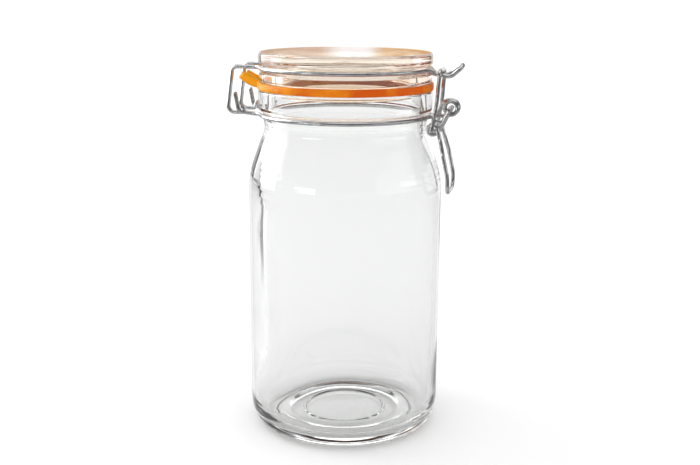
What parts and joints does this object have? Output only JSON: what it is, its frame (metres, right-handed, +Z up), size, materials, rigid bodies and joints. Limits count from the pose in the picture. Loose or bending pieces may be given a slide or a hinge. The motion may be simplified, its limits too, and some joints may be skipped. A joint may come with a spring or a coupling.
{
  "type": "clip-top glass storage jar",
  "caption": "Empty clear glass storage jar with a hinged glass lid, a pull-tab rubber seal and a wire clip that clamps the lid shut.",
  "frame": {"origin": "on the jar's axis, in the plane that it stands on", "axes": "+Z up the jar's axis, +X towards the clasp, -X towards the hinge and the seal's tab, Y across the wires"},
  "size_m": [0.1334, 0.11, 0.2162],
  "materials": {
    "jar_glass": "clear polished soda-lime glass",
    "lid_glass": "clear pressed glass",
    "rubber": "smooth orange natural rubber",
    "wire": "zinc-plated drawn steel wire"
  },
  "bodies": {
    "jar": {"jar_glass": "jar_glass", "neck_wire": "wire"},
    "lid": {"lid_glass": "lid_glass", "gasket_ring": "rubber", "lid_wire": "wire"},
    "lever": {"latch_lever": "wire"},
    "link": {"latch_link": "wire"}
  },
  "joints": [
    {"name": "lid_hinge", "type": "hinge", "parent": "jar", "child": "lid", "pos_m": [-0.0559, 0, 0.1852], "axis": [0, -1, 0], "range_deg": [0, 105]},
    {"name": "lever_pivot", "type": "hinge", "parent": "jar", "child": "lever", "pos_m": [0.06, 0, 0.1867], "axis": [0, -1, 0], "range_deg": [0, 110]},
    {"name": "link_swing", "type": "hinge", "parent": "lid", "child": "link", "pos_m": [0.0544, 0, 0.2072], "axis": [0, -1, 0], "range_deg": [0, 44.3]}
  ],
  "couplings": [
    {"joint": "link_swing", "follows": "lever_pivot", "ratio": 0.402}
  ]
}
